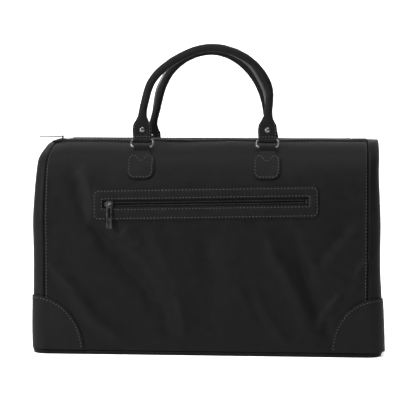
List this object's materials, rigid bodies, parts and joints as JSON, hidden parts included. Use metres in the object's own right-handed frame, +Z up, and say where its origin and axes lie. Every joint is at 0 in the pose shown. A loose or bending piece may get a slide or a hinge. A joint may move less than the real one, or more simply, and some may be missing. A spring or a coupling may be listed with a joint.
{
  "type": "weekender bag",
  "caption": "Soft-sided weekender bag with a flat base, a zipped mouth along the top, a zipped front pocket and two rolled carry handles hung on metal rings.",
  "frame": {"origin": "centre of the flat underside, on the floor", "axes": "+Z up, +X to the right of someone facing the front, the front faces -Y"},
  "size_m": [0.5687, 0.2643, 0.4939],
  "materials": {
    "body_leather": "matte fine-grained coated leather, black",
    "trim_leather": "matte fine-grained coated leather, black, edge-painted",
    "zip_tape": "woven black tape",
    "lining_fabric": "woven black lining",
    "zip_chain": "black nylon coil",
    "stiffener": "dark moulded stiffener",
    "hardware_metal": "bright nickel plate",
    "ring_metal": "bright nickel plate"
  },
  "bodies": {
    "shell": {"back_left_chape": "trim_leather", "back_left_corner_patch": "trim_leather", "back_panel": "body_leather", "back_right_chape": "trim_leather", "back_right_corner_patch": "trim_leather", "base_board": "stiffener", "base_panel": "trim_leather", "base_piping": "trim_leather", "front_left_chape": "trim_leather", "front_left_corner_patch": "trim_leather", "front_panel": "body_leather", "front_right_chape": "trim_leather", "front_right_corner_patch": "trim_leather", "left_end_panel": "body_leather", "left_zip_end_tab": "body_leather", "main_lining": "lining_fabric", "pocket_bag": "lining_fabric", "pocket_frame": "trim_leather", "pocket_zip_lower_chain": "zip_chain", "pocket_zip_lower_tape": "zip_tape", "pocket_zip_stops": "hardware_metal", "pocket_zip_upper_chain": "zip_chain", "pocket_zip_upper_tape": "zip_tape", "right_end_panel": "body_leather", "right_zip_end_tab": "body_leather", "zip_chain_ends": "zip_chain", "zip_tape_ends": "zip_tape"},
    "front_band": {"front_top_band": "body_leather", "front_zip_tape": "zip_tape", "front_zip_chain": "zip_chain"},
    "back_band": {"back_top_band": "body_leather", "back_zip_tape": "zip_tape", "back_zip_chain": "zip_chain"},
    "main_slider": {"main_zip_slider": "hardware_metal"},
    "main_puller": {"main_zip_puller": "hardware_metal"},
    "pocket_slider": {"pocket_zip_slider": "hardware_metal"},
    "pocket_puller": {"pocket_zip_puller": "hardware_metal"},
    "front_rings": {"front_left_ring": "ring_metal", "front_right_ring": "ring_metal"},
    "back_rings": {"back_left_ring": "ring_metal", "back_right_ring": "ring_metal"},
    "front_handle_body": {"front_handle": "trim_leather", "front_handle_core": "stiffener", "front_left_rivet": "hardware_metal", "front_right_rivet": "hardware_metal"},
    "back_handle_body": {"back_handle": "trim_leather", "back_handle_core": "stiffener", "back_left_rivet": "hardware_metal", "back_right_rivet": "hardware_metal"}
  },
  "joints": [
    {"name": "front_ring_hinge", "type": "hinge", "parent": "shell", "child": "front_rings", "pos_m": [0, -0.08359, 0.33262], "axis": [1, 0, 0], "range_deg": [-6, 90]},
    {"name": "front_handle_hinge", "type": "hinge", "parent": "front_rings", "child": "front_handle_body", "pos_m": [0, -0.07759, 0.34301], "axis": [1, 0, 0], "range_deg": [-12, 55]},
    {"name": "back_ring_hinge", "type": "hinge", "parent": "shell", "child": "back_rings", "pos_m": [0, 0.10019, 0.31372], "axis": [-1, 0, 0], "range_deg": [-6, 90]},
    {"name": "back_handle_hinge", "type": "hinge", "parent": "back_rings", "child": "back_handle_body", "pos_m": [0, 0.09419, 0.32412], "axis": [-1, 0, 0], "range_deg": [-12, 55]},
    {"name": "front_band_hinge", "type": "hinge", "parent": "shell", "child": "front_band", "pos_m": [0, -0.041, 0.344], "axis": [1, 0, 0], "range_deg": [0, 80]},
    {"name": "back_band_hinge", "type": "hinge", "parent": "shell", "child": "back_band", "pos_m": [0, 0.041, 0.344], "axis": [-1, 0, 0], "range_deg": [0, 80]},
    {"name": "main_zip_slide", "type": "slide", "parent": "shell", "child": "main_slider", "axis": [1, 0, 0], "range_m": [0, 0.487]},
    {"name": "main_puller_hinge", "type": "hinge", "parent": "main_slider", "child": "main_puller", "pos_m": [-0.247, 0, 0.3452], "axis": [0, 1, 0], "range_deg": [0, 150]},
    {"name": "pocket_zip_slide", "type": "slide", "parent": "shell", "child": "pocket_slider", "axis": [0.9998, 0.0039, 0.0206], "range_m": [0, 0.3055]},
    {"name": "pocket_puller_hinge", "type": "hinge", "parent": "pocket_slider", "child": "pocket_puller", "pos_m": [-0.15272, -0.12624, 0.24361], "axis": [-0.9998, -0.0039, -0.0206], "range_deg": [0, 120]}
  ]
}
